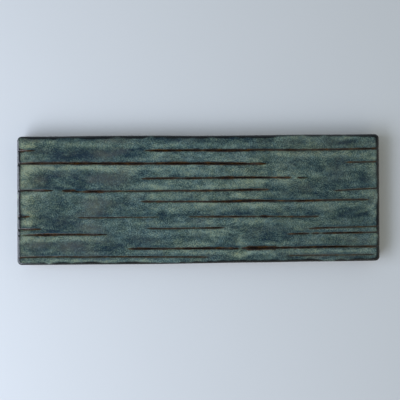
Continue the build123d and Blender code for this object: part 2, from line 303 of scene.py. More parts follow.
# Patches of the glaze: x, y, half length, half height, and how much darker or paler it is
PATCHES = [
    # Above the first course and between the first two
    (4.0, 64.0, 4.5, 2.8, 0.75),
    (3.0, 59.0, 4.0, 2.0, 0.35),
    (9.8, 65.0, 1.6, 2.5, -0.30),
    (10.5, 62.3, 3.0, 1.5, -0.50),
    (34.0, 65.4, 27.0, 1.5, 0.42),
    (36.0, 68.4, 26.0, 1.3, -0.50),
    (48.0, 65.4, 5.0, 1.2, 0.25),
    (60.0, 64.2, 5.0, 1.8, 0.35),
    (30.0, 59.5, 14.0, 2.8, -0.60),
    (24.0, 58.5, 5.0, 1.6, -0.30),
    (38.0, 60.0, 4.0, 2.0, -0.25),
    (31.0, 57.0, 25.0, 1.2, -0.40),
    (60.5, 60.0, 5.5, 2.2, -0.45),
    (81.0, 68.2, 14.0, 1.2, -0.45),
    (68.0, 63.2, 3.0, 2.2, -0.70),
    (82.0, 64.5, 9.0, 1.6, 0.30),
    (78.0, 59.8, 6.0, 1.8, 0.35),
    (45.0, 60.0, 5.0, 2.5, -0.15),
    (104.5, 65.8, 8.0, 1.9, -0.45),
    (117.0, 68.4, 7.0, 1.2, -0.55),
    (117.5, 63.3, 3.0, 1.2, 0.50),
    (124.0, 64.2, 3.0, 1.0, 0.35),
    (133.0, 62.5, 4.5, 1.5, -0.50),
    (126.0, 67.0, 10.0, 1.5, -0.25),
    (151.0, 67.6, 12.0, 1.0, 0.35),
    (180.0, 65.1, 4.5, 1.3, -0.65),
    (166.0, 64.3, 5.0, 1.4, -0.20),
    (180.0, 68.2, 16.0, 1.2, 0.45),
    (175.0, 62.7, 6.0, 1.0, 0.35),
    (109.5, 57.5, 4.0, 2.0, 0.35),
    (128.5, 56.5, 3.0, 1.8, 0.35),
    (154.0, 59.4, 14.0, 1.4, 0.30),
    (177.0, 59.4, 12.0, 1.2, 0.38),
    # Between the second and the fourth
    (4.0, 51.0, 5.0, 3.6, 0.90),
    (10.5, 51.0, 3.5, 2.5, 0.25),
    (3.5, 44.5, 3.0, 2.2, 0.75),
    (24.0, 51.8, 12.0, 1.6, 0.35),
    (51.0, 52.3, 16.0, 1.6, 0.50),
    (63.0, 50.0, 4.0, 2.2, 0.35),
    (75.5, 51.0, 4.0, 2.0, 0.05),
    (16.0, 46.0, 5.0, 3.2, -0.60),
    (33.0, 46.5, 8.0, 3.6, -0.40),
    (24.5, 44.5, 3.0, 1.4, 0.20),
    (40.5, 46.0, 1.8, 1.2, 0.40),
    (48.0, 46.5, 9.0, 3.0, -0.30),
    (15.0, 41.4, 6.0, 1.2, -0.50),
    (21.5, 40.6, 3.5, 1.0, -0.50),
    (29.5, 41.0, 3.5, 1.0, -0.80),
    (44.5, 41.0, 6.0, 1.0, -0.75),
    (44.0, 37.0, 5.0, 1.8, -0.25),
    (58.0, 38.0, 4.0, 2.0, 0.20),
    (67.5, 48.5, 3.0, 2.0, -0.30),
    (73.5, 44.4, 4.0, 1.2, -0.35),
    (79.0, 44.6, 2.5, 1.2, 0.30),
    (72.0, 42.2, 8.0, 1.5, 0.30),
    (96.0, 49.4, 9.0, 1.4, 0.55),
    (90.0, 52.3, 4.0, 1.0, 0.30),
    (111.0, 44.3, 3.0, 1.4, -0.35),
    (102.0, 42.4, 5.0, 1.6, 0.45),
    (118.0, 52.6, 5.0, 1.2, -0.25),
    (133.0, 51.2, 4.0, 1.2, -0.40),
    (116.0, 43.0, 4.0, 2.2, 0.35),
    (126.5, 44.8, 7.0, 2.4, 0.65),
    (118.5, 38.6, 3.0, 2.0, -0.15),
    (142.0, 51.0, 5.0, 3.0, 0.45),
    (146.0, 45.5, 7.0, 3.0, 0.60),
    (156.0, 49.0, 6.0, 1.4, 0.40),
    (166.0, 52.6, 4.0, 2.0, -0.75),
    (172.5, 49.3, 3.5, 1.4, -0.35),
    (176.0, 54.0, 5.5, 2.2, -0.65),
    (183.0, 48.0, 3.0, 2.4, -0.25),
    (159.5, 41.6, 8.0, 2.4, -0.40),
    (156.0, 37.8, 8.0, 1.6, -0.50),
    (136.5, 38.2, 3.0, 1.4, 0.35),
    (188.5, 46.4, 3.0, 4.5, -0.75),
    (182.0, 40.6, 9.0, 2.0, -0.30),
    (194.2, 52.0, 2.2, 7.0, 0.45),
    # Between the fourth and the sixth
    (5.5, 38.2, 5.0, 2.2, 0.95),
    (5.0, 32.0, 3.5, 5.0, 0.30),
    (14.5, 37.5, 4.0, 1.5, 0.10),
    (20.0, 26.5, 8.0, 5.0, -0.40),
    (23.5, 22.5, 3.0, 2.0, -0.15),
    (7.5, 28.2, 5.0, 1.6, 0.50),
    (31.0, 34.0, 4.5, 2.0, -0.30),
    (49.0, 31.0, 3.0, 1.5, -0.30),
    (41.0, 32.0, 6.0, 4.0, 0.05),
    (32.0, 24.5, 5.0, 1.6, -0.30),
    (54.5, 34.0, 2.6, 2.2, -0.20),
    (46.0, 27.0, 5.0, 1.6, -0.40),
    (59.5, 28.5, 4.0, 3.5, -0.20),
    (65.0, 31.0, 4.0, 2.0, -0.15),
    (76.8, 25.8, 3.0, 2.2, -0.40),
    (82.0, 28.8, 5.0, 1.8, 0.40),
    (90.0, 23.6, 5.0, 1.4, 0.30),
    (76.0, 36.8, 5.0, 1.6, 0.25),
    (101.0, 36.0, 3.0, 2.0, 0.25),
    (122.0, 36.5, 2.8, 2.0, 0.35),
    (113.5, 38.0, 4.0, 1.4, -0.45),
    (103.0, 32.4, 8.0, 1.5, 0.75),
    (126.5, 31.8, 8.0, 1.7, 0.60),
    (123.0, 27.4, 7.5, 1.5, -0.50),
    (112.0, 27.4, 4.0, 1.2, -0.30),
    (141.5, 26.2, 4.0, 2.4, -0.60),
    (142.0, 35.2, 7.0, 1.4, -0.25),
    (157.0, 32.0, 11.0, 1.2, 0.30),
    (158.0, 27.0, 6.0, 1.6, -0.40),
    (166.0, 28.8, 4.0, 2.0, 0.35),
    (154.0, 26.6, 0.9, 0.9, 0.60),
    (168.0, 37.0, 8.0, 1.6, -0.25),
    (183.0, 37.8, 4.5, 1.6, -0.45),
    (177.0, 27.4, 4.0, 2.0, -0.40),
    (185.5, 26.4, 6.0, 3.0, -0.60),
    (193.0, 32.0, 3.0, 5.5, 0.60),
    # Below the sixth
    (7.5, 22.8, 5.0, 1.6, 0.75),
    (11.5, 20.4, 3.0, 1.8, -0.75),
    (18.0, 18.2, 4.5, 1.4, -0.65),
    (27.0, 21.0, 8.0, 2.2, -0.50),
    (45.0, 23.0, 8.0, 1.8, -0.35),
    (53.0, 19.4, 3.0, 1.8, 0.20),
    (79.0, 24.0, 5.0, 1.0, -0.25),
    (27.0, 13.8, 20.0, 1.2, 0.25),
    (3.5, 14.4, 4.0, 2.2, 0.55),
    (17.0, 9.8, 6.5, 3.0, -0.60),
    (4.5, 8.0, 3.0, 1.6, 0.10),
    (34.0, 10.0, 8.0, 2.4, -0.45),
    (50.0, 9.0, 6.5, 3.0, -0.45),
    (55.5, 15.8, 3.0, 1.5, -0.30),
    (64.5, 12.2, 6.0, 2.2, -0.65),
    (73.0, 16.6, 5.0, 1.2, 0.25),
    (86.0, 15.8, 5.0, 1.4, -0.30),
    (57.0, 3.0, 3.5, 1.4, 0.30),
    (77.0, 6.4, 9.0, 1.0, -0.35),
    (83.5, 9.3, 2.2, 1.0, -0.60),
    (89.5, 13.5, 2.4, 2.0, -0.10),
    (95.0, 9.5, 7.0, 3.4, 0.35),
    (106.0, 14.5, 2.4, 2.0, 0.45),
    (104.0, 22.2, 6.0, 1.6, 0.60),
    (107.0, 17.8, 8.0, 1.2, 0.50),
    (115.0, 16.6, 5.0, 1.4, 0.45),
    (112.0, 12.4, 3.5, 1.2, -0.25),
    (118.0, 9.6, 2.8, 1.2, -0.70),
    (121.0, 12.0, 1.4, 5.5, 0.40),
    (119.5, 4.0, 3.2, 2.4, 0.60),
    (105.0, 6.6, 9.0, 1.2, 0.30),
    (124.0, 22.6, 8.0, 1.6, 0.50),
    (135.0, 14.6, 10.5, 3.6, -0.42),
    (131.0, 19.2, 7.0, 1.2, -0.35),
    (130.5, 16.2, 3.0, 1.6, 0.35),
    (136.5, 11.2, 5.0, 1.4, 0.65),
    (133.5, 23.2, 4.0, 1.4, 0.35),
    (131.0, 6.2, 7.0, 1.0, 0.35),
    (127.0, 3.0, 5.0, 1.4, -0.30),
    (145.5, 3.4, 5.0, 1.8, -0.45),
    (151.0, 24.0, 5.5, 0.9, -0.35),
    (163.0, 22.2, 10.0, 1.2, 0.20),
    (148.0, 19.0, 4.0, 1.4, 0.15),
    (153.0, 13.5, 8.0, 2.4, -0.25),
    (172.0, 12.0, 8.0, 1.6, -0.20),
    (186.0, 20.8, 6.0, 1.8, -0.40),
    (185.0, 11.2, 6.0, 1.6, -0.25),
    (193.5, 14.0, 2.6, 4.0, 0.50),
    (181.0, 5.8, 14.0, 0.9, 0.30),
    (192.0, 7.0, 3.5, 1.4, 0.45),
    (178.0, 3.4, 12.0, 1.2, -0.35),
    (40.0, 2.2, 30.0, 0.9, 0.50),
    (87.0, 2.4, 10.0, 1.0, 0.25),
    (103.0, 3.6, 5.0, 1.2, -0.30),
    (84.0, 1.2, 8.0, 0.9, -0.35),
    (77.0, 13.4, 4.5, 1.4, -0.30),
    (8.0, 8.0, 2.5, 2.0, -0.25),
    (117.0, 12.8, 3.0, 1.4, -0.25),
    (145.0, 31.0, 5.0, 1.2, -0.25),
    (140.0, 38.8, 2.5, 1.4, -0.40),
    (90.5, 43.6, 3.5, 1.2, -0.35),
    (20.5, 47.5, 3.0, 1.4, -0.35),
    (39.0, 50.3, 3.5, 1.4, -0.40),
    (103.0, 51.8, 6.0, 1.2, -0.35),
    (162.0, 47.5, 4.0, 2.5, 0.35),
    (193.5, 42.0, 2.2, 3.0, 0.45),
    (193.0, 57.0, 2.5, 2.5, 0.35),
    (107.0, 33.0, 5.0, 5.0, 0.12),
    (121.0, 59.3, 5.0, 1.2, -0.30),
    (139.5, 49.5, 3.5, 4.0, -0.22),
    (147.0, 44.0, 4.0, 1.5, -0.15),
    (188.0, 46.5, 4.0, 4.0, 0.20),
    (192.5, 33.0, 2.0, 3.0, 0.35),
    (124.0, 37.6, 5.0, 1.2, 0.30),
    (136.5, 40.8, 3.0, 1.2, 0.35),
    (35.5, 53.0, 7.0, 1.0, 0.35),
    (13.5, 65.6, 4.0, 1.5, 0.25),
    (6.5, 66.5, 3.0, 2.0, -0.25),
    (14.0, 60.0, 3.5, 1.2, 0.30),
    (32.0, 57.8, 4.0, 1.5, -0.20),
    (63.0, 57.5, 4.0, 1.5, 0.25),
    # Close beside the lines. The first pales the flank under the second course: painted light
    # that offsets the shade of its slope
    (92.0, 53.7, 46.0, 0.5, 0.50),
    (90.0, 41.2, 40.0, 0.6, 0.25),
    (108.0, 55.8, 6.0, 0.7, 0.35),
    (31.0, 15.2, 4.5, 1.0, 0.35),
    (125.0, 26.4, 38.0, 0.6, -0.30),
    (27.0, 17.6, 22.0, 0.8, -0.35),
    (52.0, 5.1, 48.0, 0.7, -0.15),
    (52.0, 3.4, 48.0, 0.7, -0.15),
]

# Patches where the glaze is thin and the warm clay greys it: x, y, half length, half height,
# strength
WARM_PATCHES = [
    (48.0, 59.5, 5.0, 2.0, 0.8),
    (50.0, 46.5, 9.0, 3.5, 0.7),
    (40.5, 46.0, 2.0, 1.3, 0.8),
    (12.0, 46.5, 4.0, 2.0, 0.5),
    (41.0, 32.0, 6.0, 5.0, 0.8),
    (38.0, 20.5, 7.0, 3.0, 0.6),
    (29.0, 10.0, 8.0, 3.5, 0.6),
    (44.0, 12.5, 6.0, 1.5, 0.4),
    (10.0, 10.0, 9.0, 3.0, 0.4),
    (54.0, 67.0, 12.0, 1.5, 0.5),
    (8.0, 67.5, 6.0, 1.5, 0.5),
    (150.0, 60.0, 12.0, 2.0, 0.3),
    (160.0, 4.3, 9.0, 0.9, 0.8),
    (180.0, 4.2, 13.0, 0.8, 0.7),
    (176.0, 50.0, 7.0, 4.0, 0.4),
    (182.0, 12.0, 12.0, 2.4, 0.4),
    (75.0, 12.5, 6.0, 1.5, 0.2),
    (56.0, 61.5, 6.0, 2.4, 0.7),
    (59.0, 50.0, 5.0, 5.0, 0.4),
    (47.0, 34.0, 5.0, 3.0, 0.4),
    (38.0, 26.5, 6.0, 2.0, 0.3),
    (46.0, 18.0, 5.0, 3.0, 0.5),
    (45.0, 4.0, 8.0, 3.0, 0.3),
    (157.0, 39.0, 5.0, 4.0, 0.3),
    (168.0, 28.0, 5.0, 4.0, 0.3),
    (193.5, 30.0, 4.0, 12.0, 0.3),
    (166.0, 66.0, 28.0, 4.0, 0.2),
]

# Patches where the glaze leans to olive, or to blue where under 0: x, y, half length, half
# height, strength
LEAN_PATCHES = [
    (4.0, 35.0, 10.0, 90.0, 0.55),
    (10.0, 51.0, 6.0, 4.0, 0.25),
    (22.0, 65.0, 18.0, 4.0, 0.30),
    (50.0, 63.0, 8.0, 4.0, 0.20),
    (57.0, 50.5, 7.0, 4.0, 0.30),
    (22.0, 38.0, 6.0, 6.0, 0.15),
    (26.0, 18.0, 10.0, 4.5, 0.30),
    (40.0, 12.0, 8.0, 4.0, 0.30),
    (70.0, 48.0, 5.0, 4.0, -0.25),
    (71.0, 27.0, 8.0, 7.0, -0.20),
    (65.0, 13.0, 6.0, 4.0, -0.25),
    (92.0, 9.0, 6.0, 3.0, 0.30),
    (115.0, 27.0, 4.0, 4.0, -0.25),
    (115.0, 13.0, 5.0, 3.5, -0.20),
    (118.0, 5.5, 5.0, 3.5, 0.50),
    (127.0, 50.0, 7.0, 7.0, 0.38),
    (124.0, 38.5, 9.0, 4.5, 0.35),
    (140.0, 58.0, 7.0, 6.0, 0.25),
    (154.0, 61.0, 11.0, 3.5, 0.30),
    (178.0, 61.0, 11.0, 3.5, 0.28),
    (192.0, 55.0, 5.0, 5.0, 0.35),
    (140.0, 20.0, 8.0, 4.0, 0.15),
    (155.0, 9.5, 9.0, 3.5, 0.28),
    (168.0, 45.0, 35.0, 25.0, 0.08),
    (5.0, 12.0, 6.0, 9.0, 0.25),
    (4.0, 62.0, 6.0, 5.0, -0.12),
    (30.0, 53.5, 22.0, 3.0, 0.25),
    (100.0, 61.0, 28.0, 9.0, -0.20),
    (84.0, 52.0, 10.0, 6.0, -0.15),
    (83.0, 1.5, 8.0, 3.0, -0.35),
]

# Beads of glaze at the left end, beside the scores that run off it: x, y, radius. They leave the
# outermost BEAD_EDGE alone
BEADS = [
    (0.55, 53.8, 0.55),
    (0.55, 25.2, 0.50),
    (0.60, 18.6, 0.60),
    (0.50, 15.7, 0.55),
    (0.75, 0.75, 0.65),
]
BEAD_HEIGHT = 0.16
BEAD_EDGE = 0.05

# Camera, with its tilt in degrees
CAMERA_LENS = 70
CAMERA_SENSOR = 36
CAMERA_PLACE = (-0.0084, 0.0037, 0.4309)
CAMERA_TILT = (-0.534, -1.226, -0.516)

# Lights, in the frame's metres: a window, and a room whose colour turns from cool to warm and
# whose ceiling is dim
WINDOW_PLACE = (-0.44, -0.17, 0.36)
WINDOW_SIZE = (0.70, 0.40)
WINDOW_POWER = 4.7
WINDOW_COLOUR = (0.77, 0.83, 1.0)
ROOM_COOL = (0.84, 0.93, 1.0)
ROOM_WARM = (1.0, 0.95, 0.80)
ROOM_TURN = (-0.5, 0.8)
ROOM_STRENGTH = 0.62
CEILING_STRENGTH = 0.12
CEILING_FADE = (0.80, 0.93)

# Table: half its length in metres, and its matt paint, whose grain is in millimetres
TABLE_HALF = 3.0
TABLE_COLOUR = (0.60, 0.628, 0.640)
TABLE_DARKEST = 0.985
TABLE_GRAIN = 40
TABLE_ROUGHNESS = 0.9
TABLE_SPECULAR = 0.2


def eased(value, low, high):
    """0 below low, 1 above high, and a smooth step between them."""
    t = np.clip((value - low) / (high - low), 0, 1)
    return t * t * (3 - 2 * t)


def blurred(field, sigma_x, sigma_y):
    """A map blurred by a bell curve of those widths in millimetres."""
    pad_x = int(3 * sigma_x / MAP_STEP_X) + 1
    pad_y = int(3 * sigma_y / MAP_STEP_Y) + 1
    wide = np.pad(field, ((pad_x, pad_x), (pad_y, pad_y)), mode="edge")
    wave_x = np.fft.fftfreq(wide.shape[0], MAP_STEP_X)[:, None]
    wave_y = np.fft.rfftfreq(wide.shape[1], MAP_STEP_Y)[None, :]
    bell = np.exp(-2 * math.pi**2 * ((wave_x * sigma_x) ** 2 + (wave_y * sigma_y) ** 2))
    smooth = np.fft.irfft2(np.fft.rfft2(wide) * bell, s=wide.shape)
    return smooth[pad_x : pad_x + field.shape[0], pad_y : pad_y + field.shape[1]]


class FaceMaps:
    """Maps of the face on an even grid, and the random fields that vary them."""

    def __init__(self):
        self.random = np.random.default_rng(SEED)
        self.xs = np.arange(0, LENGTH + MAP_STEP_X, MAP_STEP_X)
        self.ys = np.arange(0, WIDTH + MAP_STEP_Y, MAP_STEP_Y)
        self.x, self.y = np.meshgrid(self.xs, self.ys, indexing="ij")

    def noise(self, size_x, size_y, random=None):
        """A smooth random field with a spread of 1 and features of that size."""
        random = random or self.random
        raw = random.standard_normal((len(self.xs), len(self.ys)))
        smooth = blurred(raw, size_x / 2, size_y / 2)
        return (smooth - smooth.mean()) / smooth.std()

    def added(self, fields):
        """Random fields, listed as share, length and height, added up."""
        return sum(share * self.noise(size_x, size_y) for share, size_x, size_y in fields)

    def beside(self, field, shift, blur_x, blur_y):
        """The field moved up the face by shift, or down where that is under 0, and blurred."""
        steps = int(round(shift / MAP_STEP_Y))
        source = np.clip(np.arange(len(self.ys)) - steps, 0, len(self.ys) - 1)
        return blurred(field[:, source], blur_x, blur_y)

    def read(self, field, x, y):
        """The field's values at the points x, y, between its columns and rows."""
        # Just short of the last column and row, which have none beyond them
        column = np.clip(x / MAP_STEP_X, 0, len(self.xs) - 1.001)
        row = np.clip(y / MAP_STEP_Y, 0, len(self.ys) - 1.001)
        i, j = column.astype(int), row.astype(int)
        s, t = column - i, row - j
        low = field[i, j] * (1 - s) + field[i + 1, j] * s
        high = field[i, j + 1] * (1 - s) + field[i + 1, j + 1] * s
        return low * (1 - t) + high * t


def to_frame(x, y, z):
    """Points in millimetres from the face's corner, as points of the frame."""
    return np.stack(
        [BOX_LOW.x + x * MM, BOX_LOW.y + y * MM, BOX_LOW.z + z * MM], axis=-1
    )


def from_sides(x, y):
    """How far a point lies from the nearer end, and from the nearer long side."""
    return np.minimum(x, LENGTH - x), np.minimum(y, WIDTH - y)


def edge_inset(x, y):
    """How far a point lies inside the true outline with its rounded corners."""
    from_x, from_y = from_sides(x, y)
    in_corner = (from_x < CORNER_RADIUS) & (from_y < CORNER_RADIUS)
    reach = np.hypot(CORNER_RADIUS - from_x, CORNER_RADIUS - from_y)
    return np.where(in_corner, CORNER_RADIUS - reach, np.minimum(from_x, from_y))


def along(values, place, length):
    """Values that stand at even steps along a side, read at a place between them."""
    return np.interp(place, np.linspace(0, length, len(values)), values)


def handmade(x, y):
    """Moves points of the true rectangle so that its sides meet the handmade outline."""
    left = along(LEFT_END, y, WIDTH) * (1 - x / LENGTH)
    right = along(RIGHT_END, y, WIDTH) * (x / LENGTH)
    lower = along(LOWER_SIDE, x, LENGTH) * (1 - y / WIDTH)
    upper = along(UPPER_SIDE, x, LENGTH) * (y / WIDTH)
    return x + left - right, y + lower - upper


def round_drop(inset, radius):
    """How far a round of that radius lies under the face, at that inset from the outline."""
    across = np.clip(radius - inset, 0, radius)
    return radius - np.sqrt(radius**2 - across**2)


def rim_drop(inset):
    """How far the glazed rim lies under the face."""
    slope = RIM_FALL * np.clip(1 - inset / RIM_REACH, 0, 1) ** 2
    return slope + round_drop(inset, RIM_ROUND)


def rim_shade(x, y, wander):
    """How dark the rim is, from 1 at the outline to 0 in the face: thin glaze and painted shade.
    """
    shade = 1 - eased(edge_inset(x, y) + wander, *RIM_LEAST)
    for inset, width in (
        (y, along(LOWER_RIM, x, LENGTH)),
        (WIDTH - y, along(UPPER_RIM, x, LENGTH)),
        (x, along(LEFT_RIM, y, WIDTH)),
        (LENGTH - x, along(RIGHT_RIM, y, WIDTH)),
    ):
        near, far = width * (1 - RIM_FADE), width * (1 + RIM_FADE)
        shade = np.maximum(shade, 1 - eased(inset + wander, near, far))
    # At the left end the rim pales towards the outline: a painted highlight
    return shade * eased(x + wander, *LEFT_PAINTED_HIGHLIGHT)


def height_met(starts, way):
    """The height at which rays from those points meet the frame's tile, or 0 if they miss it."""
    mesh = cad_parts["tile"].data
    tree = BVHTree.FromPolygons(
        [v.co for v in mesh.vertices], [p.vertices for p in mesh.polygons]
    )
    heights = np.zeros(len(starts))
    for i, start in enumerate(starts):
        hit = tree.ray_cast(start, way)[0]
        if hit is not None:
            heights[i] = (hit.z - BOX_LOW.z) / MM
    return heights


def score_depth(maps):
    """How deep the frame's tile is scored, found by dropping rays on its face."""
    x = np.clip(maps.x, MAP_MARGIN, LENGTH - MAP_MARGIN)
    y = np.clip(maps.y, MAP_MARGIN, WIDTH - MAP_MARGIN)
    starts = to_frame(x, y, np.full(x.shape, 2 * THICKNESS)).reshape(-1, 3)
    level = THICKNESS - round_drop(edge_inset(x, y), FRAME_RIM_RADIUS)
    depth = level - height_met(starts, (0, 0, -1)).reshape(x.shape)
    depth[edge_inset(x, y) < MAP_MARGIN] = 0
    return np.clip(depth, 0, None) * eased(depth, *LEAST_DEPTHS)


def spread(maps, patches):
    """Listed soft patches, each with a ragged outline, added up into one map."""
    total = np.zeros(maps.x.shape)
    ragged_x = maps.noise(*RAG_SIZE) * RAG_SHIFT[0]
    ragged_y = maps.noise(*RAG_SIZE) * RAG_SHIFT[1]
    for x, y, half_length, half_height, strength in patches:
        across = (maps.x + ragged_x - x) / half_length
        up = (maps.y + ragged_y - y) / half_height
        total += strength * np.exp(-(across**2 + up**2))
    return total


def filling(maps):
    """The share of each score that glaze has filled, or under 0 where painted shade darkens it.
    """
    frayed = np.random.default_rng(SEED + 2)
    uneven = FILL_WIDE * maps.noise(3.0, 3.0) + FILL_FRAYED * maps.noise(1.1, 3.0, frayed)
    uneven += FILL_MEAN
    filled = np.zeros(maps.x.shape)
    for height, stretches in STRETCHES.items():
        near = np.exp(-(((maps.y - height) / COURSE_REACH) ** 4))
        for middle, half_length, share in stretches:
            filled += share * near * np.exp(-(((maps.x - middle) / half_length) ** 4))
    return filled + uneven * (1 - np.clip(filled, 0, 1))


def levelled(maps, depth):
    """The depth of the scores for the mesh, flattened over the listed parts of them and blurred.
    """
    for x, y, half_length in LEVELLED:
        ends = ((maps.x - x) / half_length) ** 2
        depth = depth * (1 - np.exp(-ends - (maps.y - y) ** 4))
    return blurred(depth, CUT_EASE, SCORE_BLUR[1])


def pressed(maps, depth):
    """The depth of the scores with the short presses, for their colour: painted shade."""
    for x, y, half_length, half_height, press in PAINTED_PRESSES:
        ends = ((maps.x - x) / half_length) ** 4
        depth = np.maximum(depth, press * np.exp(-ends - ((maps.y - y) / half_height) ** 2))
    return depth


def make_maps(maps):
    """Every map of the glaze: its shape, and the masks that its colours are mixed by."""
    depth = score_depth(maps)
    filled = filling(maps)
    shut = np.clip(filled, 0, 1)
    maps.depth = levelled(maps, depth * (1 - shut))
    low, high = (share * GLAZE_HEADROOM for share in SWELL_LIMITS)
    maps.level = np.clip(SWELL * maps.added(SWELL_FIELDS), low, high)

    # Dark cut, which shows faintly where glaze fills it: the brown stain, with painted shade
    # where the cut is harder and at the presses
    depth = pressed(maps, depth)
    shown = 1 - STAIN_HIDDEN[0] * shut - STAIN_HIDDEN[1] * shut**4
    stained = blurred(depth * shown, *SCORE_BLUR)
    cut = blurred(depth * (1 - np.clip(filled, HARDEST_PAINTED_CUT, 1)), *SCORE_BLUR)
    faint = FILLED_STAIN * eased(stained, *STAIN_DEPTHS)
    maps.core = np.maximum(eased(cut, *CORE_DEPTHS), faint)

    # Its greenish fringe, and the blue pools close to it
    fringe = maps.beside(eased(stained, *FRINGE_DEPTHS), *FRINGE)
    maps.halo = eased(fringe, *HALO_SPAN)
    line = eased(blurred(eased(stained, *LINE_DEPTHS), *LINE_BLUR), *LINE_SPAN)
    vary = maps.noise(*VARIES_OVER)
    pooled = np.interp(maps.y, *np.transpose(POOLS)) * maps.beside(line, *POOL_ABOVE)
    pooled *= np.clip(POOL_MEAN + POOL_VARIES * vary, *POOL_LIMITS)
    maps.pool = pooled + POOL_BELOW_SHARE * maps.beside(line, *POOL_BELOW)

    # Tone, with the pale bands beyond the pools, and the hues
    tone = PATCH_STRENGTH * spread(maps, PATCHES)
    tone += maps.added(TONE_FIELDS)
    below = (PALE_BELOW_SHARE + PALE_VARIES * vary) * maps.beside(line, *PALE_BELOW)
    tone += PALE_ABOVE_SHARE * maps.beside(line, *PALE_ABOVE) + below
    maps.tone = tone - tone.mean() + TONE_LEVEL + TONE_SLOPE * (maps.x / LENGTH - 0.5)
    maps.warm = np.clip(spread(maps, WARM_PATCHES) + maps.added(WARM_FIELDS), 0, 1)
    maps.wander = maps.added(RIM_WANDER)
    maps.lean = np.clip(0.5 + spread(maps, LEAN_PATCHES), 0, 1)
    return maps


def columns():
    """Places of the mesh's columns, whose count is a multiple of the back's stride."""
    rim = np.array(RIM_PLACES)
    inner = LENGTH - 2 * RIM_REACH
    total = math.ceil((inner / COLUMN_STEP + 2 * len(rim)) / BACK_STRIDE) * BACK_STRIDE
    middle = np.linspace(RIM_REACH, LENGTH - RIM_REACH, total - 2 * len(rim) + 1)
    return np.concatenate([rim, middle, (LENGTH - rim)[::-1]])


def rows(maps):
    """Places of the mesh's rows, closest together where the face is scored."""
    scored = maps.depth.max(axis=0) > SCORED_DEPTH
    near = np.convolve(scored, np.ones(SCORED_REACH), mode="same") > 0
    density = np.where(near, 1 / SCORED_ROW_STEP, 1 / PLAIN_ROW_STEP)
    even = np.ones(ROW_BLEND) / ROW_BLEND
    density = np.convolve(np.pad(density, ROW_BLEND // 2, mode="edge"), even, mode="valid")
    inside = (maps.ys >= RIM_REACH) & (maps.ys <= WIDTH - RIM_REACH)
    ys = maps.ys[inside]
    travelled = np.concatenate([[0], np.cumsum(density[inside][1:]) * MAP_STEP_Y])
    count = int(travelled[-1])
    middle = np.interp(np.linspace(0, travelled[-1], count + 1), travelled, ys)
    rim = np.array(RIM_PLACES)
    middle[0], middle[-1] = RIM_REACH, WIDTH - RIM_REACH
    return np.concatenate([rim, middle, (WIDTH - rim)[::-1]])


def rounded(x, y):
    """Moves the points of a square corner onto rings that follow the round corner."""
    from_x, from_y = from_sides(x, y)
    corner = (from_x < CORNER_RADIUS) & (from_y < CORNER_RADIUS)
    a = np.where(corner, CORNER_RADIUS - from_x, 0) / CORNER_RADIUS
    b = np.where(corner, CORNER_RADIUS - from_y, 0) / CORNER_RADIUS
    scale = np.maximum(a, b) / np.maximum(np.hypot(a, b), 1e-9)
    near_x = CORNER_RADIUS * (1 - a * scale)
    near_y = CORNER_RADIUS * (1 - b * scale)
    new_x = np.where(x < LENGTH / 2, near_x, LENGTH - near_x)
    new_y = np.where(y < WIDTH / 2, near_y, WIDTH - near_y)
    return np.where(corner, new_x, x), np.where(corner, new_y, y)


def ring_order(nx, ny):
    """The grid's outermost points in order round the tile, as column and row numbers."""
    bottom = [(i, 0) for i in range(nx)]
    right = [(nx - 1, j) for j in range(1, ny)]
    top = [(i, ny - 1) for i in range(nx - 2, -1, -1)]
    left = [(0, j) for j in range(ny - 2, 0, -1)]
    return bottom + right + top + left


def shrunk(x, y, inset):
    """Points of the outline moved straight inwards by inset."""
    from_x, from_y = from_sides(x, y)
    centre_x = np.clip(x, CORNER_RADIUS, LENGTH - CORNER_RADIUS)
    centre_y = np.clip(y, CORNER_RADIUS, WIDTH - CORNER_RADIUS)
    away_x, away_y = x - centre_x, y - centre_y
    on_side = (from_x >= CORNER_RADIUS) | (from_y >= CORNER_RADIUS)
    away_x = np.where(on_side & (from_x > from_y), 0, away_x)
    away_y = np.where(on_side & (from_y >= from_x), 0, away_y)
    reach = np.maximum(np.hypot(away_x, away_y), 1e-9)
    return x - away_x / reach * inset, y - away_y / reach * inset


def channel_depth(y):
    """How deep the back is at those y, taken from the frame's tile across its middle."""
    starts = [(0.0, BOX_LOW.y + place * MM, BOX_LOW.z - RAY_START * MM) for place in y]
    return height_met(starts, (0, 0, 1))


